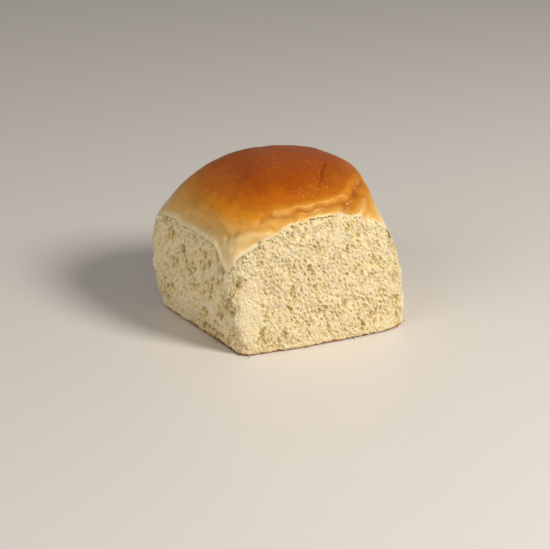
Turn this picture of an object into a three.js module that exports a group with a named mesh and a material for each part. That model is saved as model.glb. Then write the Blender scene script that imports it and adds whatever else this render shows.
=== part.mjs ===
// Pull-apart bread roll: one soft cushion of bread, torn on its four sides, under a browned crown.
// Millimetres, +Z up, resting flat on z = 0. The wide torn face looks along -Y.
import * as THREE from 'three';

// Driving sizes of the whole roll.
const LENGTH = 94;               // across its leaning sides, at the widest
const DEPTH = 67;                // from the torn front to the torn back
const HEIGHT = 67;               // to the peak of the crown

// The torn sides. facing: the way the side looks, in degrees from +X. reach: its distance from the
// middle, at the foot. lean: how many degrees it tips outwards, or inwards if negative. belly: how
// far it stands out half way up. bow: how far its two ends fall back.
const SIDES = {
  front: { facing: -90, reach: DEPTH / 2, lean: 0, belly: -1, bow: 2 },
  right: { facing: -5, reach: LENGTH / 2 + 1, lean: -16, belly: -1, bow: 2 },
  back: { facing: 90, reach: DEPTH / 2 - 4, lean: 3, belly: 3, bow: 2 },
  left: { facing: 193, reach: LENGTH / 2 - 12, lean: 3, belly: 3, bow: 0 },
};
const LEAN_HEIGHT = 0.75 * HEIGHT;   // a side curves into its lean up to here, and leans no further above
const BOW_SPAN = 35;             // half the width over which bow is measured

// Rounding of the upright corners between the torn sides.
const CORNERS = { frontLeft: 2, frontRight: 5, backRight: 8, backLeft: 5 };
const FOOT_ROUND = 1.8;          // rounding between the base and the torn sides

// The crown: a pillow wider than the roll, that the torn sides cut. Its fullness says how square the
// pillow's shoulder is (2 is an ellipse).
const PILLOW = { across: 0.56 * LENGTH, deep: 0.66 * DEPTH };   // half widths where it is widest
const SPRING = 15;               // height at which the pillow is widest
const CROWN_AT = [-2, 1];        // where the crown peaks, seen from above
const FULLNESS = 2.4;
const LEFT_FULLNESS = 1.8;       // the crown falls away more gently to the left
const CROWN_OUTLINE = 2.5;       // squareness of the pillow, seen from above
const SHOULDER = { front: 4, back: 3 };   // rounding where crown meets side

// Folds pressed into the crust: how deep, how far to each side, and their two ends, each given as
// degrees around from +X and degrees of rise above the heart's level.
const FOLDS = {
  shoulder: { depth: 0.8, reach: 2.4, from: [-125, 24], to: [-70, 30] },
  corner: { depth: 1.2, reach: 2.6, from: [-20, 30], to: [-70, 26] },
  crown: { depth: 0.7, reach: 2.2, from: [-35, 60], to: [-80, 45] },
};
const HEART = [0, 0, 38];        // folds press in towards here, and the crown is spun about it

const DIRECTIONS = 112;          // facets around
const WALL_STEPS = 13;           // facets up the torn sides
const CROWN_STEPS = 24;          // facets from there to the peak
const FOLD_STEPS = 8;            // straight pieces along a fold

const lerp = (a, b, t) => a + (b - a) * t;
const side = (a, width) => 0.5 + 0.5 * Math.tanh(a / width);   // 0 to 1 as a goes from - to +

// The greater of two depths, with a rounded edge where they meet.
function roundMax(a, b, r) {
  return Math.min(Math.max(a, b) + r, 0) + Math.hypot(Math.max(a + r, 0), Math.max(b + r, 0)) - r;
}

// Distance outside one torn side, negative within.
function pastSide({ facing, reach, lean, belly, bow }, x, y, z) {
  const turn = THREE.MathUtils.degToRad(facing);
  const out = x * Math.cos(turn) + y * Math.sin(turn);
  const along = y * Math.cos(turn) - x * Math.sin(turn);
  const up = Math.min(z / LEAN_HEIGHT, 1);
  const tipped = Math.tan(THREE.MathUtils.degToRad(lean)) * LEAN_HEIGHT * up ** 2;
  const swell = belly * Math.sin(Math.PI * up);
  return out - reach - tipped - swell + bow * (along / BOW_SPAN) ** 2;
}

// Distance outside the crown's pillow, negative within.
function pastCrown(x, y, z) {
  const dx = x - CROWN_AT[0];
  const dy = y - CROWN_AT[1];
  const px = Math.abs(dx / PILLOW.across);
  const py = Math.abs(dy / PILLOW.deep);
  const flat = (px ** CROWN_OUTLINE + py ** CROWN_OUTLINE) ** (1 / CROWN_OUTLINE);
  const up = Math.max(z - SPRING, 0) / (HEIGHT - SPRING);
  const sideways = dx * dx / (dx * dx + dy * dy + 4);
  const power = lerp(FULLNESS, LEFT_FULLNESS, sideways * side(-dx, 8));
  return ((flat ** power + up ** power) ** (1 / power) - 1) * 36;
}

// Distance outside the roll's flanks and crown, negative within.
function pastRoll(x, y, z) {
  const [front, right, back, left] = Object.values(SIDES).map((s) => pastSide(s, x, y, z));
  const toRight = side(right - left, 15);
  const toFront = side(front - back, 15);
  const corner = lerp(lerp(CORNERS.backLeft, CORNERS.backRight, toRight),
    lerp(CORNERS.frontLeft, CORNERS.frontRight, toRight), toFront);
  const flanks = roundMax(Math.max(left, right), Math.max(front, back), corner);
  const shoulder = lerp(SHOULDER.back, SHOULDER.front, toFront);
  return roundMax(flanks, pastCrown(x, y, z), shoulder);
}

// The point where a ray leaves the form: from height z on the axis, turned around and tilted up.
function surfacePoint(z, around, tilt, inset = 0) {
  const ray = [Math.cos(around) * Math.cos(tilt), Math.sin(around) * Math.cos(tilt), Math.sin(tilt)];
  let near = 0;
  let far = 80;
  for (let i = 0; i < 30; i++) {
    const mid = (near + far) / 2;
    if (pastRoll(ray[0] * mid, ray[1] * mid, z + ray[2] * mid) < -inset) near = mid;
    else far = mid;
  }
  return [ray[0] * near, ray[1] * near, z + ray[2] * near];
}

const around = Array.from({ length: DIRECTIONS }, (_, k) => (k / DIRECTIONS) * 2 * Math.PI);
const ring = (z, tilt, inset) => around.map((a) => surfacePoint(z, a, tilt, inset));

const rings = [];
for (const turn of [0, 30, 60]) {
  const bend = THREE.MathUtils.degToRad(turn);
  rings.push(ring(FOOT_ROUND * (1 - Math.cos(bend)), 0, FOOT_ROUND * (1 - Math.sin(bend))));
}
for (let i = 0; i <= WALL_STEPS; i++) rings.push(ring(lerp(FOOT_ROUND, HEART[2], i / WALL_STEPS), 0));
for (let i = 1; i < CROWN_STEPS; i++) rings.push(ring(HEART[2], (i / CROWN_STEPS) * (Math.PI / 2)));

const points = rings.flat();
const faces = [];
for (let r = 0; r + 1 < rings.length; r++) {
  for (let k = 0; k < DIRECTIONS; k++) {
    const a = r * DIRECTIONS + k;
    const b = r * DIRECTIONS + (k + 1) % DIRECTIONS;
    faces.push(a, b, b + DIRECTIONS, a, b + DIRECTIONS, a + DIRECTIONS);
  }
}
const under = points.push([0, 0, 0]) - 1;
const peak = points.push(surfacePoint(HEART[2], 0, Math.PI / 2)) - 1;
const lastRing = (rings.length - 1) * DIRECTIONS;
for (let k = 0; k < DIRECTIONS; k++) {
  const next = (k + 1) % DIRECTIONS;
  faces.push(under, next, k, lastRing + k, lastRing + next, peak);
}

const geometry = new THREE.BufferGeometry();
geometry.setAttribute('position', new THREE.Float32BufferAttribute(points.flat(), 3));
geometry.setIndex(faces);

// The run of a fold over the form, between its two ends.
function foldRun({ from, to }) {
  return Array.from({ length: FOLD_STEPS + 1 }, (_, i) => {
    const [turn, rise] = [0, 1].map((k) => THREE.MathUtils.degToRad(lerp(from[k], to[k], i / FOLD_STEPS)));
    return new THREE.Vector3(...surfacePoint(HEART[2], turn, rise));
  });
}

const folds = Object.values(FOLDS).map((fold) => ({ ...fold, run: foldRun(fold) }));
const corners = geometry.getAttribute('position');
const heart = new THREE.Vector3(...HEART);
const spot = new THREE.Vector3();
const nearest = new THREE.Vector3();
for (let i = 0; i < corners.count; i++) {
  spot.fromBufferAttribute(corners, i);
  if (spot.z < HEART[2]) continue;
  let press = 0;
  for (const { depth, reach, run } of folds) {
    let gap = Infinity;
    for (let j = 0; j + 1 < run.length; j++) {
      gap = Math.min(gap, new THREE.Line3(run[j], run[j + 1]).closestPointToPoint(spot, true, nearest)
        .distanceTo(spot));
    }
    press += depth * Math.exp(-((gap / reach) ** 2));
  }
  spot.add(nearest.subVectors(heart, spot).setLength(press));
  corners.setXYZ(i, spot.x, spot.y, spot.z);
}
geometry.computeBoundingBox();
const middle = geometry.boundingBox.getCenter(new THREE.Vector3());
geometry.translate(-middle.x, -middle.y, 0);
geometry.computeVertexNormals();

const bread = new THREE.MeshStandardMaterial({ color: 0xe6cb98, roughness: 0.85, metalness: 0 });
const roll = new THREE.Mesh(geometry, bread);
roll.name = 'bread_roll';

const group = new THREE.Group();
group.name = 'bread_roll_part';
group.add(roll);

export default group;
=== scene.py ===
"""A soft pull-apart bread roll: torn crumb sides, a browned crown and a thin baked base."""

import math  # noqa: E402

import bpy  # noqa: E402
import numpy as np  # noqa: E402
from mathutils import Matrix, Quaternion, Vector, noise  # noqa: E402
from mathutils.bvhtree import BVHTree  # noqa: E402


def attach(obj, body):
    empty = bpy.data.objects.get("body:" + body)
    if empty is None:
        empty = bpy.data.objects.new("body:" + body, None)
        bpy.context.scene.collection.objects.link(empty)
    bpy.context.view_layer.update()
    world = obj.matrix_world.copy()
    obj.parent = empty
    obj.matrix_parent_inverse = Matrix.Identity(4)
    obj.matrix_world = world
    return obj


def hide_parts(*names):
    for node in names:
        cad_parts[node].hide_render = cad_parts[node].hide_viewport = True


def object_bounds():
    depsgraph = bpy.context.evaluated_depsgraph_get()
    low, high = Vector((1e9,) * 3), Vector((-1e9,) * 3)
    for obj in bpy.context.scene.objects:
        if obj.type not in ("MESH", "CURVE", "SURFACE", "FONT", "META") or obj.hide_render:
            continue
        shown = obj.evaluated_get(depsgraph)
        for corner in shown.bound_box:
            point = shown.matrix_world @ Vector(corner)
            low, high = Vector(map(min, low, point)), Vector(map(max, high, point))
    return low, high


bl_info = {
    "name": "Pull-apart bread roll",
    "version": (1, 0, 0),
    "blender": (4, 5, 0),
    "location": "3D View > Sidebar > Bread roll",
    "description": "Builds a soft torn bread roll with crumb, crust, base and fibres",
    "category": "Object",
}

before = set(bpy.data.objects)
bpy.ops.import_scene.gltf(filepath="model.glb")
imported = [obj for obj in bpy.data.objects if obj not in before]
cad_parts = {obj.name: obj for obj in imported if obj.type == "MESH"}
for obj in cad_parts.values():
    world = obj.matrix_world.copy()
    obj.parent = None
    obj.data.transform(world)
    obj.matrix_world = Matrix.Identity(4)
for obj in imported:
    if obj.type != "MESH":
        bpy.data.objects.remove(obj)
CAD_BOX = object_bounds()
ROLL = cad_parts["bread_roll"]
MM = 0.001

HEIGHT = (CAD_BOX[1][2] - CAD_BOX[0][2]) / MM  # of the whole roll, mm
HEART = 0.57 * HEIGHT  # height of the middle, from which the crust is measured out

# The four torn sides by compass (degrees from +X), and how high the crust's torn edge runs over each.
SIDES = {"right": 0, "back": 90, "left": 190, "front": 270}
EDGES = {"right": 0.71 * HEIGHT, "back": 0.71 * HEIGHT, "left": 0.65 * HEIGHT, "front": 0.79 * HEIGHT}

# At each upright corner the crust hangs down in a tongue: the side before it, how far it hangs, and
# how many degrees it takes up before the corner and after it.
TONGUES = {
    "front left": ("left", 0.19 * HEIGHT, 6, 21),
    "front right": ("front", 0.20 * HEIGHT, 18, 10),
    "back right": ("right", 0.13 * HEIGHT, 12, 12),
    "back left": ("back", 0.09 * HEIGHT, 12, 8),
}

# Creases of the crust. Each runs between two ends, given as degrees of compass and degrees of rise
# above the heart. bow lifts its middle, also in degrees. depth is pressed in, or raised if negative,
# and reach is half its width, both in mm.
CREASES = {
    "shoulder": {"start": (-127, 23), "end": (-62, 29), "bow": 3, "depth": 0.75, "reach": 1.6},
    "shoulder ridge": {"start": (-118, 29), "end": (-66, 34), "bow": 2, "depth": -1.0, "reach": 2.0},
    "swell below": {"start": (-112, 20), "end": (-70, 25), "bow": 3, "depth": -0.5, "reach": 1.5},
    "corner fold": {"start": (-22, 33), "end": (-68, 26), "bow": 3, "depth": 1.3, "reach": 1.7},
    "corner ridge": {"start": (-30, 39), "end": (-62, 35), "bow": 3, "depth": -0.7, "reach": 2.0},
    "second fold": {"start": (-46, 32), "end": (-66, 22), "bow": 0, "depth": 0.6, "reach": 1.3},
    "second ridge": {"start": (-48, 27), "end": (-62, 19), "bow": 0, "depth": -0.8, "reach": 1.1},
    "tongue wrinkle": {"start": (-49, 21), "end": (-58, 15), "bow": 1, "depth": 0.4, "reach": 0.9},
    "split": {"start": (-35, 60), "end": (-79, 46), "bow": 3, "depth": 1.0, "reach": 0.55},
    "behind the lip": {"start": (182, 15), "end": (218, 12), "bow": 1, "depth": 0.6, "reach": 2.0},
    "corner wrinkle": {"start": (-143, 13), "end": (-121, 19), "bow": 2, "depth": 0.55, "reach": 1.1},
    "corner swell": {"start": (-140, 11), "end": (-122, 16), "bow": 2, "depth": -0.5, "reach": 1.2},
    "low wrinkle": {"start": (-138, 7), "end": (-125, 12), "bow": 1, "depth": 0.6, "reach": 0.8},
}
CREASE_STEPS = 10  # straight pieces along a crease

# The holes one notices first: compass and height, then how tall, wide and deep, in mm. The rest are
# scattered.
BIG_HOLES = {
    "under the lip": (-150, 39, 2.6, 1.5, 2.1),
    "middle of the left side": (-178, 25, 2.0, 1.1, 1.4),
    "low on the left side": (-166, 11, 2.8, 1.5, 1.6),
    "low on the front": (-124, 9, 2.2, 1.2, 1.5),
    "under the corner tongue": (-135, 29, 1.6, 1.2, 1.6),
}
SCATTERED_HOLES = 26
SEED = 11

# Smooth skin that the crumb pulled into when it tore: compass, height and reach in mm.
SKINS = {
    "by the corner": (-130, 14, 8.0),
    "above it": (-131, 25, 6.0),
    "high on the front": (-75, 44, 3.0),
}


class RollSizes(bpy.types.PropertyGroup):
    """Sizes a baker would change."""

    crust_thickness: bpy.props.FloatProperty(
        name="Crust thickness", description="Thickness of the browned skin", default=0.0009,
        min=0.0004, max=0.003, unit="LENGTH", subtype="DISTANCE")
    lip_flare: bpy.props.FloatProperty(
        name="Lip flare", description="How far the torn edge of the crust stands out",
        default=0.0007, min=0.0, max=0.003, unit="LENGTH", subtype="DISTANCE")
    base_thickness: bpy.props.FloatProperty(
        name="Base thickness", description="Thickness of the browned underside", default=0.0010,
        min=0.0004, max=0.003, unit="LENGTH", subtype="DISTANCE")
    crumb_roughness: bpy.props.FloatProperty(
        name="Crumb roughness", description="Scale of the torn relief", default=1.0, min=0.2,
        max=2.0, subtype="FACTOR")
    fibres: bpy.props.IntProperty(
        name="Fibres", description="Number of torn shreds on the sides", default=3800, min=0,
        max=9000)


class RollColours(bpy.types.PropertyGroup):
    """Colours of the bake."""

    crumb: bpy.props.FloatVectorProperty(
        name="Crumb", description="Torn crumb", default=(0.83, 0.68, 0.405), size=3,
        subtype="COLOR", min=0, max=1)
    # The colour the crumb is painted where painted shade lies in its holes.
    shade_and_tone: bpy.props.FloatVectorProperty(
        name="Hollows", description="Crumb inside its holes", default=(0.69, 0.53, 0.235), size=3,
        subtype="COLOR", min=0, max=1)
    crown: bpy.props.FloatVectorProperty(
        name="Crown", description="Darkest bake on the crown", default=(0.36, 0.068, 0.002), size=3,
        subtype="COLOR", min=0, max=1)
    base: bpy.props.FloatVectorProperty(
        name="Base", description="Baked underside", default=(0.36, 0.15, 0.045), size=3,
        subtype="COLOR", min=0, max=1)


# ---- shared making ---------------------------------------------------------------------------


def smooth(low, high, x):
    """0 below low, 1 above high, with an easy turn at both."""
    t = np.clip((x - low) / (high - low), 0, 1)
    return t * t * (3 - 2 * t)


def active():
    return bpy.context.view_layer.objects.active


def clear_selection():
    bpy.ops.object.select_all(action="DESELECT")


def rename(obj, name):
    obj.name = name
    obj.data.name = name
    return obj


def read_points(mesh):
    flat = np.empty(len(mesh.vertices) * 3)
    mesh.vertices.foreach_get("co", flat)
    return flat.reshape(-1, 3)


def write_points(mesh, points):
    mesh.vertices.foreach_set("co", np.ascontiguousarray(points, float).ravel())
    mesh.update()


def read_normals(mesh):
    flat = np.empty(len(mesh.vertices) * 3)
    mesh.vertices.foreach_get("normal", flat)
    return flat.reshape(-1, 3)


def paint(mesh, name, values):
    """Stores one number per point, for the material to read."""
    layer = mesh.attributes.new(name, "FLOAT", "POINT")
    layer.data.foreach_set("value", np.ascontiguousarray(values, np.float32))


def take_on(obj, material):
    """Gives a finished piece its material and its body, and puts the CAD node away."""
    obj.data.materials.clear()
    obj.data.materials.append(material)
    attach(obj, "root")
    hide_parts("bread_roll")
    clear_selection()


def finish_smooth(obj, material):
    """Shades a finished piece smooth, and gives it what it needs."""
    clear_selection()
    obj.select_set(True)
    bpy.ops.object.shade_smooth()
    take_on(obj, material)


WELD = 1e-5  # points nearer to each other than this are one point, m
ROUNDING_LEVELS = 2
OUTLINE_HEIGHT = 25.0  # where the roll's outline is followed round, mm
OUTLINE_STEP = 0.5  # degrees from one point of that outline to the next

# To round off a corner, the reach is read at these shares of the spread and added up by weight.
SOFTENING = ((-1.0, 0.15), (-0.5, 0.22), (0.0, 0.26), (0.5, 0.22), (1.0, 0.15))


def out_from(height, turn, tilt, reach):
    """The place that far out from the upright axis at that height, turned round and tilted up."""
    return (reach * math.cos(turn) * math.cos(tilt), reach * math.sin(turn) * math.cos(tilt),
            height + reach * math.sin(tilt))


class Form:
    """The smooth outline of the whole roll, in mm, which the pieces are laid on."""

    def __init__(self):
        clear_selection()
        work = ROLL.copy()
        work.data = ROLL.data.copy()
        bpy.context.scene.collection.objects.link(work)
        work.parent = None
        bpy.context.view_layer.objects.active = work
        work.select_set(True)
        bpy.ops.object.mode_set(mode="EDIT")
        bpy.ops.mesh.select_all(action="SELECT")
        bpy.ops.mesh.remove_doubles(threshold=WELD)
        bpy.ops.object.mode_set(mode="OBJECT")
        rounder = work.modifiers.new("round", "SUBSURF")
        rounder.levels = rounder.render_levels = ROUNDING_LEVELS
        bpy.ops.object.modifier_apply(modifier=rounder.name)
        self.tree = surface_of(work)
        bpy.data.objects.remove(work)
        self.corners = upright_corners(self)
        around = [self.corners[name] for name in TONGUES]
        self.bounds_of = {}
        for name in SIDES:
            after = min(around, key=lambda c: apart(c, SIDES[name]) % 360)
            before = min(around, key=lambda c: apart(SIDES[name], c) % 360)
            self.bounds_of[name] = (after, before)

    def leave(self, height, turn, tilt=0.0):
        """Distance from the upright axis, at that height, out to the surface."""
        ray = Vector((math.cos(turn) * math.cos(tilt), math.sin(turn) * math.cos(tilt), math.sin(tilt)))
        return self.tree.ray_cast(Vector((0, 0, height)), ray)[3]

    def at(self, height, turn, tilt=0.0):
        """The place where that ray leaves the surface."""
        return out_from(height, turn, tilt, self.leave(height, turn, tilt))

    def soft_at(self, height, turn, tilt, spread):
        """The same, with the reach evened out over spread radians to each side."""
        reach = 0.0
        for share, weight in SOFTENING:
            reach += weight * self.leave(height, turn + share * spread, tilt)
        return out_from(height, turn, tilt, reach)

    def turns(self, count, weight):
        """count directions, spread evenly along the outline, closer where weight is greater."""
        fine = np.radians(np.arange(0, 360, OUTLINE_STEP))
        outline = np.array([self.at(OUTLINE_HEIGHT, t)[:2] for t in fine])
        steps = np.linalg.norm(np.roll(outline, -1, 0) - outline, axis=1)
        steps *= np.array([weight(math.degrees(t)) for t in fine])
        run = np.concatenate([[0], np.cumsum(steps)])
        return np.interp(np.arange(count) / count * run[-1], run, np.append(fine, 2 * math.pi))


def surface_of(obj):
    """The surface of an object, in mm, to send rays at."""
    faces = [tuple(p.vertices) for p in obj.data.polygons]
    return BVHTree.FromPolygons([Vector(p) for p in read_points(obj.data) / MM], faces)


MADE = {}


def the_form():
    """The outline, made the first time that it is asked for, before the CAD node is put away."""
    if "form" not in MADE:
        MADE["form"] = Form()
    return MADE["form"]


def apart(a, b):
    """Degrees from direction b round to direction a, between -180 and 180."""
    return (a - b + 180) % 360 - 180


CORNER_SEARCH = np.linspace(0.2, 0.8, 61)  # shares of the way from one side to the next


def upright_corners(form):
    """Compass of the roll's corners: where its outline reaches out furthest between two sides."""
    names = list(SIDES)
    corners = {}
    for tongue, (first, *_) in TONGUES.items():
        start = SIDES[first]
        after = SIDES[names[(names.index(first) + 1) % len(names)]]
        between = [start + apart(after, start) * share for share in CORNER_SEARCH]
        corners[tongue] = max(between, key=lambda d: form.leave(OUTLINE_HEIGHT, math.radians(d)))
    return corners


EDGE_EASE = 6  # degrees to each side of a corner over which one side's height turns to the next one's
TONGUE_POINT = 1.5  # how pointed a tongue is
# Raggedness of the torn edge: waves round the roll, layer of the noise, and height in mm.
RAGGED = ((9, 3.1, 0.8), (26, 7.7, 0.75), (62, 1.3, 0.35))


def crust_edge(form, turn):
    """Height of the crust's torn edge: level over each side, hanging down at each corner."""
    degrees = math.degrees(turn)
    height = 0.0
    for tongue, (_, hang, before, after) in TONGUES.items():
        gap = apart(degrees, form.corners[tongue])
        spread = before if gap < 0 else after
        height -= hang * math.exp(-abs(gap / spread) ** TONGUE_POINT)
    for name in SIDES:
        ahead, behind = form.bounds_of[name]
        share = (smooth(-EDGE_EASE, EDGE_EASE, apart(degrees, behind))
                 * smooth(-EDGE_EASE, EDGE_EASE, apart(ahead, degrees)))
        height += EDGES[name] * float(share)
    for waves, layer, size in RAGGED:
        height += size * noise.noise(Vector((math.cos(turn) * waves, math.sin(turn) * waves, layer)))
    return height


def round_noise(turns, waves, layer):
    """Noise that runs once round the roll and meets itself."""
    return np.array([noise.noise(Vector((math.cos(t) * waves, math.sin(t) * waves, layer))) for t in turns])


def crease_run(form, start, end, bow):
    """Points of a crease over the form, between its two ends."""
    run = []
    for share in np.linspace(0, 1, CREASE_STEPS + 1):
        turn = start[0] + apart(end[0], start[0]) * share
        rise = start[1] + (end[1] - start[1]) * share + bow * math.sin(math.pi * share)
        run.append(form.at(HEART, math.radians(turn), math.radians(rise)))
    return run


# Scattered holes: compass, height and tallness in mm, then width and depth as shares of the tallness.
HOLE_TURNS, HOLE_HEIGHTS, HOLE_TALL = (-180, 180), (4, 40), (1.2, 2.3)
HOLE_WIDE, HOLE_DEEP = (0.5, 0.7), (0.45, 0.65)


def torn_holes(form):
    """Middle and size of every large hole: the named ones, then the scattered ones."""
    luck = np.random.default_rng(SEED)
    holes = list(BIG_HOLES.values())
    for _ in range(SCATTERED_HOLES):
        tall = luck.uniform(*HOLE_TALL)
        holes.append((luck.uniform(*HOLE_TURNS), luck.uniform(*HOLE_HEIGHTS), tall,
                      tall * luck.uniform(*HOLE_WIDE), tall * luck.uniform(*HOLE_DEEP)))
    return [(form.at(height, math.radians(turn)), tall, wide, deep)
            for turn, height, tall, wide, deep in holes]


def off_run(points, run):
    """Distance of each point from a run of straight pieces."""
    best = np.full(len(points), np.inf)
    for a, b in zip(np.array(run[:-1], float), np.array(run[1:], float)):
        along = np.clip((points - a) @ (b - a) / ((b - a) @ (b - a)), 0, 1)
        best = np.minimum(best, np.linalg.norm(points - a - along[:, None] * (b - a), axis=1))
    return best


def ball(name, segments, rings):
    """A closed ball, with how far round and how far down each point is, to be shaped afterwards."""
    clear_selection()
    bpy.ops.mesh.primitive_uv_sphere_add(segments=segments, ring_count=rings, radius=1)
    obj = rename(active(), name)
    points = read_points(obj.data)
    ring = np.rint(np.arccos(np.clip(points[:, 2], -1, 1)) / math.pi * rings).astype(int)
    column = np.rint(np.arctan2(points[:, 1], points[:, 0]) / (2 * math.pi) * segments).astype(int)
    return obj, column % segments, ring


# ---- materials -------------------------------------------------------------------------------


class Mix:
    """Short hands for wiring one material."""

    def __init__(self, name):
        self.material = bpy.data.materials.new(name)
        self.material.use_nodes = True
        self.tree = self.material.node_tree
        self.shader = self.tree.nodes["Principled BSDF"]
        coordinates = self.tree.nodes.new("ShaderNodeTexCoord")
        self.place = coordinates.outputs["Object"]

    def node(self, kind, **settings):
        made = self.tree.nodes.new(kind)
        for key, value in settings.items():
            setattr(made, key, value)
        return made

    def link(self, out, into):
        self.tree.links.new(out, into)

    def painted(self, name):
        return self.node("ShaderNodeAttribute", attribute_name=name).outputs["Fac"]

    def grain(self, per_metre, detail=3.0, rough=0.6, stretch=None):
        """Soft noise; stretch squeezes it along each axis."""
        texture = self.node("ShaderNodeTexNoise")
        for key, value in (("Scale", per_metre), ("Detail", detail), ("Roughness", rough)):
            texture.inputs[key].default_value = value
        place = self.place
        if stretch is not None:
            mapping = self.node("ShaderNodeMapping")
            mapping.inputs["Scale"].default_value = stretch
            self.link(place, mapping.inputs["Vector"])
            place = mapping.outputs["Vector"]
        self.link(place, texture.inputs["Vector"])
        return texture.outputs["Fac"]

    def cells(self, per_metre):
        """Distance from the nearest of many scattered points."""
        texture = self.node("ShaderNodeTexVoronoi")
        texture.inputs["Scale"].default_value = per_metre
        self.link(self.place, texture.inputs["Vector"])
        return texture.outputs["Distance"]

    def math(self, operation, a, b, clamp=False):
        made = self.node("ShaderNodeMath", operation=operation, use_clamp=clamp)
        for socket, value in zip(made.inputs, (a, b)):
            if isinstance(value, (int, float)):
                socket.default_value = value
            else:
                self.link(value, socket)
        return made.outputs[0]

    def span(self, value, low, high, to_low=0.0, to_high=1.0):
        """value, stretched from low..high to to_low..to_high and held there beyond."""
        made = self.node("ShaderNodeMapRange", clamp=True)
        self.link(value, made.inputs["Value"])
        ends = {"From Min": low, "From Max": high, "To Min": to_low, "To Max": to_high}
        for key, number in ends.items():
            made.inputs[key].default_value = number
        return made.outputs["Result"]

    def sway(self, grain, low, high):
        """The middle part of a noise, where most of it lies, stretched to low..high."""
        return self.span(grain, 0.3, 0.7, low, high)

    def blend(self, share, colour, other):
        """colour, turning to the fixed colour other as share goes from 0 to 1."""
        made = self.node("ShaderNodeMix", data_type="RGBA")
        first, second = (socket for socket in made.inputs if socket.type == "RGBA")
        self.link(share, made.inputs["Factor"])
        self.link(colour, first)
        second.default_value = (*other, 1.0)
        return next(socket for socket in made.outputs if socket.type == "RGBA")

    def ramp(self, value, stops):
        made = self.node("ShaderNodeValToRGB")
        ramp = made.color_ramp
        ramp.interpolation = "EASE"
        while len(ramp.elements) < len(stops):
            ramp.elements.new(0.5)
        for element, (where, colour) in zip(ramp.elements, stops):
            element.position = where
            element.color = (*colour, 1.0)
        self.link(value, made.inputs["Fac"])
        return made.outputs["Color"]

    def bump(self, height, strength, distance, below=None):
        made = self.node("ShaderNodeBump")
        made.inputs["Strength"].default_value = strength
        made.inputs["Distance"].default_value = distance
        self.link(height, made.inputs["Height"])
        if below is not None:
            self.link(below, made.inputs["Normal"])
        return made.outputs["Normal"]

    def set(self, **values):
        for key, value in values.items():
            socket = self.shader.inputs[key.replace("_", " ")]
            if hasattr(value, "links"):
                self.link(value, socket)
            else:
                socket.default_value = value


# PALER is the crumb's palest tone, also its painted highlight on raised fluff; DEEPER is the darkest painted
# shade, deep in its holes.
PALER, DEEPER = (1.08, 1.11, 1.24), (0.80, 0.74, 0.62)  # shares of the crumb's and the hollows' colour
TOASTED = (0.62, 0.34, 0.12)
# Crust colours from the torn edge up; the crown's own colour comes last.
BAKING = [(0.0, (0.84, 0.68, 0.40)), (0.14, (0.76, 0.53, 0.23)), (0.34, (0.70, 0.37, 0.085)),
          (0.56, (0.62, 0.225, 0.014)), (0.78, (0.49, 0.125, 0.004))]
# The first colour is the small blisters: partly their own paler bake, partly painted glints.
# The second colour is the painted shade laid into the creases.
BLISTER_GLINT_COLOUR, CREASE_PAINTED_SHADE = (0.86, 0.42, 0.08), (0.25, 0.05, 0.003)
BASE_DARKER, BASE_PALE, BASE_PORE = (0.6, 0.6, 0.6), (0.58, 0.30, 0.10), (0.14, 0.05, 0.015)


def tinted(colour, shares):
    return tuple(value * share for value, share in zip(colour, shares))


def crumb_material(colours, name="torn crumb", glow=0.8, depth=0.0014):
    """Pale fluffy crumb, with painted shade, darker and yellower, in its holes and a painted highlight on
    its raised fluff; glow is how much light passes in, depth how far.
    """
    m = Mix(name)
    fine = m.grain(1500, 2.0)
    # The painted number is painted shade, high in pits and holes and low, a painted highlight, on raised
    # fluff; the noise adds tone at random.
    tone = m.math("ADD", m.painted("shade_and_tone"), m.span(fine, 0.35, 0.66, -0.22, 0.40))
    tone = m.math("ADD", tone, m.sway(m.grain(160), -0.10, 0.12), clamp=True)
    crumb, shade_and_tone = tuple(colours.crumb), tuple(colours.shade_and_tone)
    colour = m.ramp(tone, [(0.0, tinted(crumb, PALER)), (0.30, crumb), (0.68, shade_and_tone),
                           (1.0, tinted(shade_and_tone, DEEPER))])
    colour = m.blend(m.painted("toast"), colour, TOASTED)
    m.set(Base_Color=colour, Roughness=0.92, Specular_IOR_Level=0.2)
    m.set(Subsurface_Weight=glow, Subsurface_Radius=(1.0, 0.80, 0.42), Subsurface_Scale=depth)
    m.set(Sheen_Weight=0.12, Sheen_Roughness=0.6)
    relief = m.math("ADD", m.cells(1350), m.math("MULTIPLY", fine, 0.9))
    m.set(Normal=m.bump(relief, strength=0.8, distance=0.0005))
    return m.material


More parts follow.
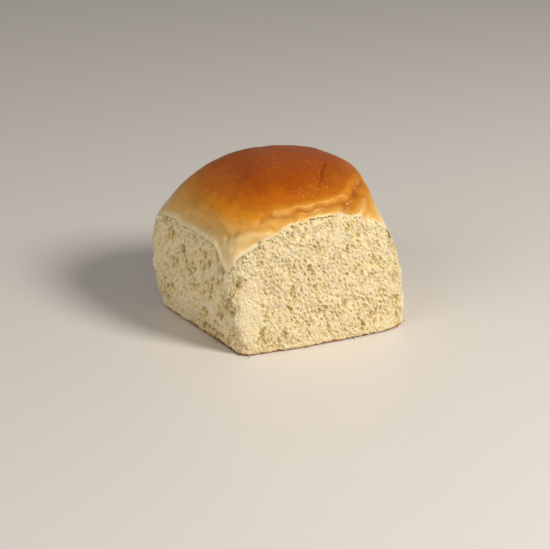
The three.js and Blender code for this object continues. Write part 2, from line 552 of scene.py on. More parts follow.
def crust_material(colours):
    """Glossy browned skin, deep on the crown and cream where it tore, with painted shade in its creases,
    paler ridges that are a painted highlight, and pale blisters that are partly painted glints.
    """
    m = Mix("browned crust")
    bake = m.painted("bake")
    mottle = m.grain(95, 4.0, 0.62)
    streak = m.grain(420, stretch=(1.0, 0.45, 1.0))
    level = m.math("ADD", bake, m.sway(mottle, -0.06, 0.06))
    level = m.math("ADD", level, m.sway(streak, -0.035, 0.035), clamp=True)
    colour = m.ramp(level, [*BAKING, (1.0, tuple(colours.crown))])
    here = m.span(m.grain(70, 2.0), 0.42, 0.58)
    # Small pale blisters on the crown, partly their own colour and partly painted glints.
    blisters_and_glints = m.math("MULTIPLY", m.span(m.cells(640), 0.11, 0.25, 1.0, 0.0), here)
    blisters_and_glints = m.math("MULTIPLY", blisters_and_glints, m.span(bake, 0.55, 0.8))
    colour = m.blend(m.math("MULTIPLY", blisters_and_glints, 0.42), colour, BLISTER_GLINT_COLOUR)
    # Painted shade darkens the creases.
    colour = m.blend(m.math("MULTIPLY", m.painted("crease"), 0.62), colour, CREASE_PAINTED_SHADE)
    m.set(Base_Color=colour, Roughness=m.sway(mottle, 0.34, 0.44))
    m.set(Specular_IOR_Level=0.45, Specular_Tint=(1.0, 0.68, 0.30, 1))
    m.set(Coat_Weight=0.02, Coat_Roughness=0.5, Coat_IOR=1.4)
    m.set(Subsurface_Weight=0.10, Subsurface_Radius=(1.0, 0.45, 0.15), Subsurface_Scale=0.0012)
    skin = m.bump(m.grain(1300, 3.0, 0.65), strength=0.16, distance=0.0002)
    skin = m.bump(m.grain(330, 2.0), strength=0.18, distance=0.0006, below=skin)
    m.set(Normal=m.bump(blisters_and_glints, strength=0.45, distance=0.0004, below=skin))
    return m.material


def base_material(colours):
    """Dry browned underside, mottled, with small pores."""
    m = Mix("browned base")
    mottle = m.grain(140, 4.0)
    pores = m.cells(420)
    base = tuple(colours.base)
    colour = m.ramp(mottle, [(0.3, tinted(base, BASE_DARKER)), (0.55, base), (0.78, BASE_PALE)])
    colour = m.blend(m.span(pores, 0.08, 0.2, 0.5, 0.0), colour, BASE_PORE)
    m.set(Base_Color=colour, Roughness=0.7, Specular_IOR_Level=0.3)
    m.set(Subsurface_Weight=0.05, Subsurface_Scale=0.001)
    m.set(Normal=m.bump(m.math("ADD", mottle, pores), strength=0.4, distance=0.0005))
    return m.material


# ---- crumb -----------------------------------------------------------------------------------

CRUMB_AROUND, CRUMB_RINGS = 700, 138
FLOOR_RINGS, FOOT_RINGS, WALL_RINGS = 3, 5, 116
FLOOR_SHARES = (0.0, 0.4, 0.75, 0.93)  # how far out each ring of the floor lies
FINE_FACES, COARSER = (-45, 150), 0.62  # the front and left get the finest crumb, the rest this share
FLOOR_HEIGHT = 0.45  # of the crumb's underside, above the base crust's, mm
WALL_FOOT = 1.6  # height where the wall begins, mm
FOOT_TUCK = 1.1  # how far the crumb draws in under the wall, mm
UNDER_CRUST = 1.4  # how far the wall runs on under the crust, mm
TUCKED_IN = 3.2  # how far the hidden top of the crumb lies under the crust's outside, mm


def near_side(degrees):
    """How close together the crumb's points lie there."""
    last, first = FINE_FACES
    return 1.0 if apart(degrees, 0) < last or apart(degrees, 0) > first else COARSER


def crumb_place(form, turn, edge, ring):
    """Smooth place of one point of the crumb, before it is torn, going up from the base."""
    edge = edge + UNDER_CRUST
    if ring <= FLOOR_RINGS:
        return out_from(FLOOR_HEIGHT, turn, 0.0, form.leave(WALL_FOOT, turn) * FLOOR_SHARES[ring])
    ring -= FLOOR_RINGS
    if ring <= FOOT_RINGS:
        bend = ring / FOOT_RINGS * math.pi / 2
        reach = form.leave(WALL_FOOT, turn) - FOOT_TUCK * (1 - math.sin(bend))
        rise = (WALL_FOOT - FLOOR_HEIGHT) * (1 - math.cos(bend))
        return out_from(FLOOR_HEIGHT + rise, turn, 0.0, reach)
    ring -= FOOT_RINGS
    if ring <= WALL_RINGS:
        return form.at(WALL_FOOT + (edge - WALL_FOOT) * ring / WALL_RINGS, turn)
    top_rings = CRUMB_RINGS - FLOOR_RINGS - FOOT_RINGS - WALL_RINGS
    start = math.atan2(edge - HEART, form.leave(edge, turn))
    share = (ring - WALL_RINGS) / top_rings
    tilt = start + (math.pi / 2 - start) * share
    x, y, z = form.at(HEART, turn, tilt)
    keep = 1 - TUCKED_IN * min(1, (ring - WALL_RINGS) / 2) / math.dist((x, y, z), (0, 0, HEART))
    return x * keep, y * keep, HEART + (z - HEART) * keep


def within(limits, x):
    """1 inside the limits, given as where it starts, is full, is last full and ends; 0 outside."""
    start, full, last_full, end = limits
    return smooth(start, full, x) * (1 - smooth(last_full, end, x))


WIDE_FACE = (-139, -133, -44, -38)  # compass


def wide_face(points):
    """1 on the wide front face, 0 on the others, eased at the corners."""
    return within(WIDE_FACE, np.degrees(np.arctan2(points[:, 1], points[:, 0])))


# How the dough tore, on the front and on the other faces: mm sideways for each mm up, mm outwards for
# each mm up, and the share of the height that is left.
FRONT_PULL, OTHER_PULL = (0.42, 0.0, 0.76), (-0.25, 0.28, 0.48)


def pull(points):
    """The places, squeezed so that what repeats there comes out stretched the way the dough tore."""
    x, y, z = points.T
    front = wide_face(points)
    aside, outward, left = (f * front + o * (1 - front) for f, o in zip(FRONT_PULL, OTHER_PULL))
    return np.stack([x + aside * z, y + outward * z, z * left], 1)


# Layers of noise: span in mm, height in mm, and how far into the noise it starts.
LUMPS = ((15, 0.9, (0, 0, 0)), (5, 0.95, (4, 1, 9)))
FLUFF = ((1.2, 0.75, (0, 0, 0)), (0.6, 0.5, (0, 0, 0)))
SLIDES = ((1.7, 0.34), (0.9, 0.08))  # sideways drift: span and reach in mm
COARSE_CELLS, COARSE_MORE, COARSE_WALLS = 1.5, 1.0, 2.0  # cells in mm, more where coarse; wall sharpness
SMALL_CELLS, SMALL_WALLS, SMALL_SHIFT = 1.45, 1.8, (7, 7, 7)
FRONT_FINER = 0.6  # how much the large pits fade on the front
OPEN_SPAN, OPEN_SHIFT, OPEN_GAIN, OPEN_SHARE = 5.5, (9, 3, 2), 2.4, 0.35  # where the crumb is open
PIT_DEEP, PIT_MORE, CELL_DEEP, FLUFF_HIGH = 1.0, 0.6, 0.55, 0.55  # mm
# How much painted shade pits, cells and holes get, and how much painted highlight the raised fluff gets.
PIT_SHADE, CELL_SHADE, FLUFF_SHADE, HOLE_SHADE = 1.2, 0.42, 0.55, 0.6
SKIN_SHAPE, SKIN_CORE, SKIN_COVER, SKIN_RELIEF = (1.2, 1.2, 0.8), 0.6, 0.85, 0.35
HOLE_RAGGED, HOLE_RIM = 1.6, 1.4  # how far drift bends a hole's outline, and how sharp its rim is


def waves(place, layers):
    """Noise in several layers, added up."""
    height = 0.0
    for span, size, shift in layers:
        height += noise.noise(place / span + Vector(shift)) * size
    return height


def inside_cell(place, sharpness):
    """0 at the wall between two cells, rising to 1 inside them."""
    near, next_near = noise.voronoi(place)[0][:2]
    return min(1.0, (next_near - near) * sharpness)


def tear(form, points, rough):
    """Torn relief: how far each point moves, and how much painted shade it gets (0 to 1), high in pits and
    holes, low as a painted highlight on raised fluff.
    """
    noise.seed_set(SEED)
    lift = np.zeros(len(points))
    shade_and_tone = np.zeros(len(points))
    slide = np.zeros_like(points)
    coarse = 1 - FRONT_FINER * wide_face(points)
    for i, (p, s) in enumerate(zip(points, pull(points))):
        p, s = Vector(p), Vector(s)
        wide = inside_cell(s / (COARSE_CELLS + COARSE_MORE * coarse[i]), COARSE_WALLS)
        opened = noise.noise(p / OPEN_SPAN + Vector(OPEN_SHIFT)) * OPEN_GAIN + OPEN_SHARE
        small = inside_cell(s / SMALL_CELLS + Vector(SMALL_SHIFT), SMALL_WALLS)
        fluff = waves(s, FLUFF)
        pit = wide * min(1.0, max(0.0, opened)) * coarse[i]
        lift[i] = (waves(p, LUMPS) - (PIT_DEEP + PIT_MORE * coarse[i]) * pit - CELL_DEEP * small
                   + FLUFF_HIGH * fluff)
        # Painted shade in the pits and cells, painted highlight on the raised fluff.
        shade_and_tone[i] = PIT_SHADE * pit + CELL_SHADE * small - FLUFF_SHADE * fluff
        for span, reach in SLIDES:
            slide[i] += noise.noise_vector(s / span) * reach
    smoothness = np.ones(len(points))
    for compass, height, reach in SKINS.values():
        middle = form.at(height, math.radians(compass))
        away = np.linalg.norm((points - middle) * SKIN_SHAPE, axis=1)
        smoothness *= 1 - SKIN_COVER * (1 - smooth(reach * SKIN_CORE, reach, away))
    lift *= SKIN_RELIEF + (1 - SKIN_RELIEF) * smoothness
    shade_and_tone *= smoothness
    slide *= smoothness[:, None]
    for middle, tall, wide, deep in torn_holes(form):
        away = (points - np.array(middle) + HOLE_RAGGED * slide) / (wide, wide, tall)
        dent = np.exp(-((away ** 2).sum(1)) ** HOLE_RIM)
        lift -= deep * dent
        shade_and_tone += HOLE_SHADE * dent
    return lift * rough, shade_and_tone, slide * rough


FOOT_FADE, FOOT_RELIEF = (0.2, 2.2), 0.25  # heights where the relief comes in, and its share below
UNDER_FADE, UNDER_SUNK, UNDER_STILL = (0.3, 1.5), 1.7, 0.7  # mm past the crust's edge; mm; share
FOOT_CLEAR = 2  # rings above the floor that never count as under the crust
PROUD, PROUD_BAND, PROUD_FACE = 0.75, (-5, -1), (-133, -40)  # mm; mm from the edge; compass
FOOT_WAVES, FOOT_LAYER, FOOT_BIAS, FOOT_BAND = 13, 2, 0.15, (0.4, 4)  # wavy lift along the foot
LOWEST = 0.35  # mm
TOAST_BAND, TOAST_SHARE = (0.8, 2.2), 0.45  # heights in mm where the toasted foot fades out


class ROLL_OT_crumb(bpy.types.Operator):
    """The soft inside of the roll, torn open on its four sides"""

    bl_idname = "roll.crumb"
    bl_label = "Torn crumb"

    def execute(self, context):
        sizes, colours = context.scene.roll_sizes, context.scene.roll_colours
        form = the_form()
        obj, column, ring = ball("crumb", CRUMB_AROUND, CRUMB_RINGS)
        turns = form.turns(CRUMB_AROUND, near_side)
        up = CRUMB_RINGS - ring
        edges = np.array([crust_edge(form, t) for t in turns])
        points = np.array([crumb_place(form, turns[c], edges[c], int(r)) for c, r in zip(column, up)])
        write_points(obj.data, points * MM)
        normals = read_normals(obj.data)
        lift, shade_and_tone, slide = tear(form, points, sizes.crumb_roughness)
        height = points[:, 2]
        past_edge = height - edges[column]
        last_wall = FLOOR_RINGS + FOOT_RINGS + WALL_RINGS
        torn = np.where((up > FLOOR_RINGS) & (up <= last_wall), 1.0, 0.0)
        torn *= smooth(*FOOT_FADE, height) * (1 - FOOT_RELIEF) + FOOT_RELIEF
        under = smooth(*UNDER_FADE, past_edge) * (up > FLOOR_RINGS + FOOT_CLEAR)
        face = apart(np.degrees(turns[column]), 0)
        proud = PROUD * smooth(*PROUD_BAND, past_edge) * ((face > PROUD_FACE[0]) & (face < PROUD_FACE[1]))
        lift = lift * torn * (1 - under) + proud * (1 - under) - UNDER_SUNK * under
        moved = points + normals * lift[:, None] + slide * (torn * (1 - UNDER_STILL * under))[:, None]
        ripple = round_noise(turns, FOOT_WAVES, FOOT_LAYER)
        raised = np.clip(ripple[column] + FOOT_BIAS, 0, 1) * (1 - smooth(*FOOT_BAND, height))
        moved[:, 2] = np.maximum(moved[:, 2], LOWEST) + raised
        write_points(obj.data, moved * MM)
        # Painted shade and highlight for the crumb's material.
        paint(obj.data, "shade_and_tone", np.clip(shade_and_tone * torn, 0, 1))
        paint(obj.data, "toast", TOAST_SHARE * (1 - smooth(*TOAST_BAND, height)))
        finish_smooth(obj, crumb_material(colours))
        return {"FINISHED"}


# ---- crust -----------------------------------------------------------------------------------

CRUST_AROUND, CRUST_RINGS, OUTER_RINGS = 600, 140, 122
CORNER_EASE = 14  # degrees over which the crust rounds off the corners, above its edge
EASE_BAND = (0.03, 0.35)  # share of the way up from the edge where that comes in
SWELLS = ((13, 0.55, (0, 0, 0)), (5.5, 0.16, (3, 8, 1)), (2.2, 0.05, (0, 0, 0)))
DRIFT_SPAN, DRIFT, FULL_DRIFT = 4.0, 1.3, 1.6  # creases wander: span, reach, and crease reach, mm
# The creases' darkness is painted shade.
CREASE_SHADE, CREASE_CORE = 0.9, 0.6  # how dark a crease of 1 mm is, and the dark part of its width


def crust_relief(form, points):
    """Creases and waves of the crust, in mm, how much painted shade darkens its creases and how much painted
    highlight lightens its raised ridges.
    """
    noise.seed_set(SEED)
    lift = np.array([waves(Vector(p), SWELLS) for p in points])
    crease = np.zeros(len(points))
    pale = np.zeros(len(points))
    drift = np.array([noise.noise_vector(Vector(p) / DRIFT_SPAN) for p in points]) * DRIFT
    for line in CREASES.values():
        depth, reach = line["depth"], line["reach"]
        run = crease_run(form, line["start"], line["end"], line["bow"])
        gap = off_run(points + drift * min(1.0, reach / FULL_DRIFT), run)
        groove = np.exp(-((gap / reach) ** 2))
        lift -= depth * groove
        # Raised ridges are painted paler: a painted highlight.
        pale += max(0.0, -depth) * groove
        # Pressed-in creases get painted shade in their core.
        if depth > 0:
            core = np.exp(-((gap / (reach * CREASE_CORE)) ** 2))
            crease += np.clip(depth * CREASE_SHADE, 0, 1) * core
    return lift, crease, np.clip(pale, 0, 1)


STAND_OFF = 0.3  # how far the crust lies outside the form, mm
RIM_LENGTH, CROWN_RUN = 2.4, 48  # the torn rim, and the way from it to the peak, mm
RIM_RELIEF, RIM_THIN = 0.5, 0.45  # how much the relief and the thickness fade at the rim
LEFT_LIP, OTHER_FLARE, INNER_FLARE = (135, 160, 215, 232), 0.15, 0.8  # compass; shares of the flare
LIP_WAVES, LIP_LAYER, LIP_RIPPLE = 20, 5, 0.35
BAKED = {32: 0, 40: 0.07, 44: 0.15, 49: 0.30, 53.5: 0.47, 57: 0.68, 60.5: 0.86, 64.5: 1.0}  # by height, mm
# Paler places: how much, then where. The right of the crown by x and height, and the front right tongue
# by degrees from its corner and height.
RIGHT_PALER, RIGHT_BAND, RIGHT_HIGH = 0.06, (6, 26), (50, 60)
TONGUE_PALER, TONGUE_BAND, TONGUE_HIGH = 0.2, (6, 16), (50, 56)
# The second number is how strongly the raised ridges are painted paler, as a painted highlight.
RIM_PALER, RIDGE_PAINTED_HIGHLIGHT, INSIDE_BAKE = 0.30, 0.24, 0.04
# The painted shade in the creases is weaker low down.
LOW_CREASE, CREASE_BAND = 0.25, (46, 56)  # creases are this dark low down, and full above, mm


class ROLL_OT_crust(bpy.types.Operator):
    """The browned skin over the crown, with its thin torn lip and corner tongues"""

    bl_idname = "roll.crust"
    bl_label = "Browned crust"

    def execute(self, context):
        sizes, colours = context.scene.roll_sizes, context.scene.roll_colours
        form = the_form()
        obj, column, ring = ball("crust", CRUST_AROUND, CRUST_RINGS)
        turns = form.turns(CRUST_AROUND, lambda degrees: 1.0)
        edges = np.array([crust_edge(form, t) for t in turns])
        tilts = np.array([math.atan2(e - HEART, form.leave(e, t)) for e, t in zip(edges, turns)])
        inner = ring > OUTER_RINGS
        share = np.where(inner, (CRUST_RINGS - ring) / (CRUST_RINGS - OUTER_RINGS), ring / OUTER_RINGS)
        tilt = math.pi / 2 + (tilts[column] - math.pi / 2) * share
        spread = math.radians(CORNER_EASE) * smooth(*EASE_BAND, 1 - share)
        points = np.array([form.soft_at(HEART, turns[c], t, w) for c, t, w in zip(column, tilt, spread)])
        away = points - (0, 0, HEART)
        out = away / np.linalg.norm(away, axis=1)[:, None]
        lift, crease, pale = crust_relief(form, points)
        rim = 1 - smooth(0.0, RIM_LENGTH, (1 - share) * CROWN_RUN)
        left = within(LEFT_LIP, np.degrees(turns[column]) % 360)
        flare = sizes.lip_flare / MM * (OTHER_FLARE + (1 - OTHER_FLARE) * left) * rim
        ripple = LIP_RIPPLE * rim * round_noise(turns, LIP_WAVES, LIP_LAYER)[column] * left
        thick = sizes.crust_thickness / MM * (1 - RIM_THIN * rim)
        raised = STAND_OFF + lift * (1 - RIM_RELIEF * rim)
        raised += np.where(inner, flare * INNER_FLARE - thick, flare + ripple)
        points = points + out * raised[:, None]
        write_points(obj.data, points * MM)
        height = points[:, 2]
        bake = np.interp(height, list(BAKED), list(BAKED.values()))
        bake -= RIGHT_PALER * smooth(*RIGHT_BAND, points[:, 0]) * smooth(*RIGHT_HIGH, height)
        # The ridges' paleness is a painted highlight.
        bake -= RIM_PALER * rim + RIDGE_PAINTED_HIGHLIGHT * pale
        off_tongue = np.abs(apart(np.degrees(turns[column]), form.corners["front right"]))
        bake -= TONGUE_PALER * (1 - smooth(*TONGUE_BAND, off_tongue)) * (1 - smooth(*TONGUE_HIGH, height))
        bake = np.where(inner, INSIDE_BAKE, bake)
        paint(obj.data, "bake", np.clip(bake, 0, 1))
        # Painted shade for the creases.
        crease *= LOW_CREASE + (1 - LOW_CREASE) * smooth(*CREASE_BAND, height)
        paint(obj.data, "crease", np.clip(crease, 0, 1) * ~inner)
        finish_smooth(obj, crust_material(colours))
        return {"FINISHED"}


# ---- base ------------------------------------------------------------------------------------

BASE_AROUND, BASE_RINGS = 420, 30
BASE_RIM_HEIGHT = 1.7  # where the roll's width is read for the base, mm
BASE_INSET, FRONT_INSET, FRONT_TURNS = 0.55, 0.5, (225, 315)  # mm; more in front; compass
BASE_WAVES, BASE_LAYER, BASE_WAVE = 7, 1, 0.35
BASE_SQUARENESS = 0.35  # 1 is a round edge, 0 a square one
BASE_LIFT, BASE_LIFT_FROM, BASE_LIFT_BIAS = 0.5, 0.86, 0.2  # the rim's wavy lift: mm; share; bias
class ROLL_OT_base(bpy.types.Operator):
    """The thin browned skin the roll stands on"""

    bl_idname = "roll.base"
    bl_label = "Browned base"

    def execute(self, context):
        sizes, colours = context.scene.roll_sizes, context.scene.roll_colours
        form = the_form()
        obj, column, ring = ball("base_crust", BASE_AROUND, BASE_RINGS)
        turns = form.turns(BASE_AROUND, lambda degrees: 1.0)
        rim = np.array([form.leave(BASE_RIM_HEIGHT, t) for t in turns])
        wave = round_noise(turns, BASE_WAVES, BASE_LAYER)
        in_front = (np.degrees(turns) > FRONT_TURNS[0]) & (np.degrees(turns) < FRONT_TURNS[1])
        rim = rim - BASE_INSET - FRONT_INSET * in_front + BASE_WAVE * wave
        thick = sizes.base_thickness / MM
        angle = ring / BASE_RINGS * math.pi
        side = np.abs(np.sin(angle)) ** BASE_SQUARENESS
        reach = rim[column] * side
        height = thick / 2 + thick / 2 * np.sign(np.cos(angle)) * np.abs(np.cos(angle)) ** BASE_SQUARENESS
        lifted = BASE_LIFT * smooth(BASE_LIFT_FROM, 1.0, side) * np.clip(wave[column] + BASE_LIFT_BIAS, 0, 1)
        turn = turns[column]
        points = np.stack([reach * np.cos(turn), reach * np.sin(turn), height + lifted], 1)
        write_points(obj.data, points * MM)
        finish_smooth(obj, base_material(colours))
        return {"FINISHED"}


# ---- torn shreds and crumbs ------------------------------------------------------------------

SHRED_SIDES, SHRED_RINGS = 4, 3
SHRED_TAPER, SHRED_THICK = 0.55, 0.4  # how much narrower it ends, and its thickness to its half width

# Short shreds all over the sides. Ranges are the least and the most; sizes in mm, angles in radians.
SHRED_PLACES, SHRED_JITTER = 720, 0.004  # places round the roll, and drift from them
SHRED_LOWEST, SHRED_BELOW_EDGE = 1.5, 0.6
SHRED_LONG, SHRED_WIDE, SHRED_BEND = (0.5, 1.1), (0.3, 0.55), (-0.35, 0.2)  # mm; shares of the length
SHRED_LEAN, SHRED_RISE = (0.75, 0.7), (0.05, 0.4)  # middle and spread; range
CORNER_NEAR, CORNER_LONGER, CORNER_CLOSE, SHRED_THINNED = 3, 1.5, 5, 0.15  # degrees, share, degrees, share
SHRED_ROOT, FRAY_ROOT, FRAY_BEND = 0.12, 0.3, 0.5  # mm
SHRED_HOLLOW = (0.0, 0.25)
OUTSIDE = 6  # rays to the skin start this far off, mm

# Longer shreds at two upright corners: how many, from and to which share of the height, the shortest
# and the longest in mm, and their width as a share of their length.
FRAYS = {
    "front right": (130, 0.44, 0.66, 1.0, 2.8, 0.28),
    "front left": (70, 0.04, 0.54, 0.9, 2.2, 0.45),
}
FRAY_TURNS = (-8, 3)  # degrees from the corner


def shred(foot, along, up, long, wide, bend):
    """Points of one torn shred: a flat, tapering, bent strip with a pointed tip."""
    across = along.cross(up).normalized()
    points = []
    for i in range(SHRED_RINGS):
        share = i / SHRED_RINGS
        middle = foot + along * long * share + up * bend * share * share
        half = wide * (1 - SHRED_TAPER * share) / 2
        for dx, dz in ((1, 0), (0, SHRED_THICK), (-1, 0), (0, -SHRED_THICK)):
            points.append(middle + across * half * dx + up * half * dz)
    points.append(foot + along * long + up * bend)
    return points


def shred_faces(start):
    """Closed faces of one shred whose points begin at start."""
    faces = [tuple(start + k for k in reversed(range(SHRED_SIDES)))]
    for i in range(SHRED_RINGS - 1):
        for k in range(SHRED_SIDES):
            a = start + i * SHRED_SIDES + k
            b = start + i * SHRED_SIDES + (k + 1) % SHRED_SIDES
            faces.append((a, b, b + SHRED_SIDES, a + SHRED_SIDES))
    last = start + (SHRED_RINGS - 1) * SHRED_SIDES
    tip = start + SHRED_RINGS * SHRED_SIDES
    faces += [(last + k, last + (k + 1) % SHRED_SIDES, tip) for k in range(SHRED_SIDES)]
    return faces


def from_faces(name, points, faces):
    """A mesh object at the origin, from points in mm."""
    mesh = bpy.data.meshes.new(name)
    mesh.from_pydata([tuple(p * MM) for p in points], [], faces)
    mesh.update()
    obj = bpy.data.objects.new(name, mesh)
    bpy.context.scene.collection.objects.link(obj)
    clear_selection()
    bpy.context.view_layer.objects.active = obj
    obj.select_set(True)
    bpy.ops.object.mode_set(mode="EDIT")
    bpy.ops.mesh.select_all(action="SELECT")
    bpy.ops.mesh.normals_make_consistent(inside=False)
    bpy.ops.object.mode_set(mode="OBJECT")
    bpy.ops.object.shade_smooth()
    return obj


class ROLL_OT_fibres(bpy.types.Operator):
    """Small torn shreds standing off the crumb, thicker at its upright corners"""

    bl_idname = "roll.fibres"
    bl_label = "Torn shreds"

    def execute(self, context):
        crumb = bpy.data.objects.get("crumb")
        if crumb is None:
            self.report({"ERROR"}, "Make the crumb first")
            return {"CANCELLED"}
        form = the_form()
        skin = surface_of(crumb)
        luck = np.random.default_rng(SEED + 1)
        turns = form.turns(SHRED_PLACES, lambda degrees: 1.0)
        corners = list(form.corners.values())
        points, faces, shade = [], [], []

        def add(strip):
            faces.extend(shred_faces(len(points)))
            points.extend(strip)
            shade.extend([luck.uniform(*SHRED_HOLLOW)] * len(strip))

        for _ in range(context.scene.roll_sizes.fibres):
            turn = turns[int(luck.integers(SHRED_PLACES))] + luck.uniform(-SHRED_JITTER, SHRED_JITTER)
            near = min(abs(apart(math.degrees(turn), c)) for c in corners)
            height = luck.uniform(SHRED_LOWEST, crust_edge(form, turn) - SHRED_BELOW_EDGE)
            start = Vector(form.at(height, turn))
            out = Vector((math.cos(turn), math.sin(turn), 0))
            hit, normal, _, _ = skin.ray_cast(start + out * OUTSIDE, -out)
            drop = luck.uniform(0, 1)
            size = luck.uniform(*SHRED_LONG) * (CORNER_LONGER if near < CORNER_NEAR else 1.0)
            lean, rise = luck.normal(*SHRED_LEAN), luck.uniform(*SHRED_RISE)
            if hit is None or (near > CORNER_CLOSE and drop < SHRED_THINNED):
                continue
            sideways = Vector((-math.sin(turn), math.cos(turn), 0))
            lay = sideways * math.cos(lean) + Vector((0, 0, 1)) * math.sin(lean)
            along = (lay * math.cos(rise) + normal * math.sin(rise)).normalized()
            add(shred(hit - normal * SHRED_ROOT, along, normal, size, size * luck.uniform(*SHRED_WIDE),
                      size * luck.uniform(*SHRED_BEND)))
        for corner, (count, low, high, short, longest, width) in FRAYS.items():
            for _ in range(count):
                turn = math.radians(form.corners[corner] + luck.uniform(*FRAY_TURNS))
                out = Vector((math.cos(turn), math.sin(turn), 0))
                start = Vector(form.at(luck.uniform(low, high) * HEIGHT, turn))
                hit, normal, _, _ = skin.ray_cast(start + out * OUTSIDE, -out)
                along = normal + Vector((luck.uniform(-0.5, 0.5), luck.uniform(-0.5, 0.5),
                                         luck.uniform(-1, 1)))
                long = luck.uniform(short, longest)
                add(shred(hit - normal * FRAY_ROOT, along.normalized(), Vector((0, 0, 1)), long,
                          long * width, FRAY_BEND))
        obj = from_faces("torn_fibres", points, faces)
        bpy.ops.object.shade_flat()
        paint(obj.data, "shade_and_tone", shade)
        paint(obj.data, "toast", np.zeros(len(points)))
        colours = context.scene.roll_colours
        take_on(obj, crumb_material(colours, "torn shreds", glow=1.0, depth=0.0003))
        return {"FINISHED"}


LOOSE_CRUMBS = 12
CRUMB_TURNS, CRUMB_SIZE, CRUMB_OFF_FOOT = (-170, 10), (0.2, 0.5), (-0.2, 0.9)  # compass; mm; mm
FOOT_READ_AT = 1.0  # height where the roll's foot is read for them, mm
FLATNESS, UNEVEN, UNEVEN_WAVES = 0.75, 0.45, 1.7
CRUMB_TOAST = (0, 0.3)


class ROLL_OT_crumbs(bpy.types.Operator):
    """A few loose crumbs caught along the foot"""

    bl_idname = "roll.crumbs"
    bl_label = "Loose crumbs"

    def execute(self, context):
        crumb = bpy.data.objects.get("crumb")
        if crumb is None:
            self.report({"ERROR"}, "Make the crumb first")
            return {"CANCELLED"}
        form = the_form()
        luck = np.random.default_rng(SEED + 2)
        points, faces = [], []
        for _ in range(LOOSE_CRUMBS):
            clear_selection()
            turn = math.radians(luck.uniform(*CRUMB_TURNS))
            size = luck.uniform(*CRUMB_SIZE)
            reach = form.leave(FOOT_READ_AT, turn) + luck.uniform(*CRUMB_OFF_FOOT)
            place = Vector((reach * math.cos(turn), reach * math.sin(turn), size * FLATNESS))
            bpy.ops.mesh.primitive_ico_sphere_add(subdivisions=2, radius=1)
            bit = active()
            start = len(points)
            for vertex in bit.data.vertices:
                grow = 1 + UNEVEN * noise.noise(vertex.co * UNEVEN_WAVES + place)
                flat = Vector((vertex.co.x, vertex.co.y, vertex.co.z * FLATNESS))
                points.append(place + flat * size * grow)
            low = min(p.z for p in points[start:])
            for i in range(start, len(points)):
                points[i] = points[i] - Vector((0, 0, low))
            faces += [tuple(start + v for v in p.vertices) for p in bit.data.polygons]
            bpy.data.objects.remove(bit)
        obj = from_faces("loose_crumbs", points, faces)
        paint(obj.data, "shade_and_tone", np.full(len(points), 0.2))
        paint(obj.data, "toast", luck.uniform(*CRUMB_TOAST, len(points)))
        colours = context.scene.roll_colours
        take_on(obj, crumb_material(colours, "loose crumbs", glow=0.1))
        return {"FINISHED"}


# ---- stage -----------------------------------------------------------------------------------


FLOOR_SIZE = 16.0
WORLD_COLOUR, WORLD_STRENGTH = (1.0, 0.98, 0.95, 1), 0.18
MIDDLE = (0, 0, 0.035)  # what the lights are turned to
LIGHTS = {
    "key": {"place": (0.42, -0.62, 0.62), "size": 0.30, "power": 8.0, "colour": (1.0, 0.965, 0.91)},
    "fill": {"place": (-0.95, -0.45, 0.6), "size": 0.9, "power": 4.3, "colour": (1.0, 0.97, 0.93)},
}
# The camera: where it looks, how far off it is, and in degrees its compass, height and roll.
AIM, AWAY = (-0.0024, 0.0025, 0.0162), 0.6114
AZIMUTH, ELEVATION, CAMERA_ROLL = -22.5, 23.66, 0.53
LENS, SENSOR, CLIP = 100, 36, (0.01, 20)


def area_light(name, place, size, power, colour):
    clear_selection()
    bpy.ops.object.light_add(type="AREA", location=place)
    light = active()
    light.name = name
    light.data.shape = "DISK"
    light.data.size = size
    light.data.energy = power
    light.data.color = colour
    light.rotation_mode = "QUATERNION"
    light.rotation_quaternion = (Vector(MIDDLE) - Vector(place)).to_track_quat("-Z", "Y")


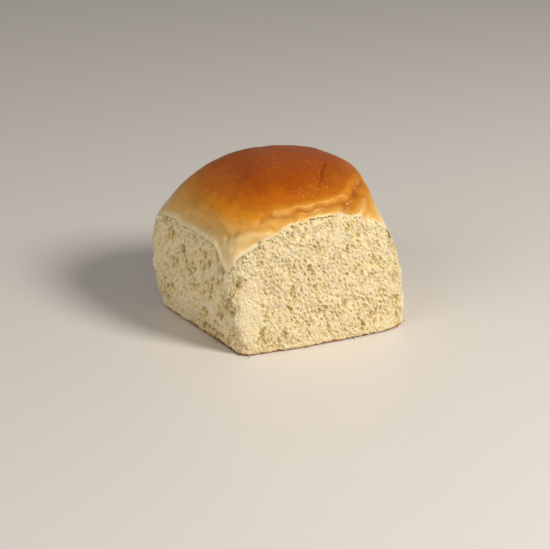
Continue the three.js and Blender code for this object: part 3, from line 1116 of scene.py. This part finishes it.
class ROLL_OT_stage(bpy.types.Operator):
    """Pale floor, soft light and the camera"""

    bl_idname = "roll.stage"
    bl_label = "Stage"

    def execute(self, context):
        clear_selection()
        bpy.ops.mesh.primitive_plane_add(size=FLOOR_SIZE, location=(0, 0, 0))
        floor = rename(active(), "floor")
        m = Mix("pale floor")
        m.set(Base_Color=(0.79, 0.745, 0.69, 1), Roughness=0.42, Specular_IOR_Level=0.35)
        floor.data.materials.append(m.material)

        world = context.scene.world or bpy.data.worlds.new("studio")
        context.scene.world = world
        world.use_nodes = True
        ground = world.node_tree.nodes["Background"]
        ground.inputs["Color"].default_value = WORLD_COLOUR
        ground.inputs["Strength"].default_value = WORLD_STRENGTH
        for name, light in LIGHTS.items():
            area_light(name, **light)

        azimuth, elevation = math.radians(AZIMUTH), math.radians(ELEVATION)
        back = Vector((math.sin(azimuth) * math.cos(elevation), -math.cos(azimuth) * math.cos(elevation),
                       math.sin(elevation)))
        clear_selection()
        bpy.ops.object.camera_add(location=Vector(AIM) + back * AWAY)
        camera = active()
        camera.data.lens, camera.data.sensor_width = LENS, SENSOR
        camera.data.clip_start, camera.data.clip_end = CLIP
        camera.rotation_mode = "QUATERNION"
        level = Quaternion((0, 0, 1), math.radians(CAMERA_ROLL))
        camera.rotation_quaternion = (-back).to_track_quat("-Z", "Y") @ level
        context.scene.camera = camera
        context.scene.view_settings.view_transform = "Standard"
        clear_selection()
        return {"FINISHED"}


class ROLL_PT_panel(bpy.types.Panel):
    """Lists the steps that build the roll"""

    bl_idname = "ROLL_PT_panel"
    bl_label = "Bread roll"
    bl_space_type = "VIEW_3D"
    bl_region_type = "UI"
    bl_category = "Bread roll"

    def draw(self, context):
        for group in (context.scene.roll_sizes, context.scene.roll_colours):
            box = self.layout.box()
            for name in group.bl_rna.properties.keys():
                if name not in ("rna_type", "name"):
                    box.prop(group, name)
        for step in STEPS:
            self.layout.operator(step.bl_idname)


STEPS = (ROLL_OT_stage, ROLL_OT_crumb, ROLL_OT_crust, ROLL_OT_base, ROLL_OT_fibres, ROLL_OT_crumbs)
CLASSES = (RollSizes, RollColours, *STEPS, ROLL_PT_panel)


def register():
    for cls in CLASSES:
        bpy.utils.register_class(cls)
    bpy.types.Scene.roll_sizes = bpy.props.PointerProperty(type=RollSizes)
    bpy.types.Scene.roll_colours = bpy.props.PointerProperty(type=RollColours)


def unregister():
    del bpy.types.Scene.roll_colours
    del bpy.types.Scene.roll_sizes
    for cls in reversed(CLASSES):
        bpy.utils.unregister_class(cls)


def main():
    register()
    bpy.ops.roll.stage()
    bpy.ops.roll.crumb()
    bpy.ops.roll.crust()
    bpy.ops.roll.base()
    bpy.ops.roll.fibres()
    bpy.ops.roll.crumbs()


if __name__ == "__main__":
    main()
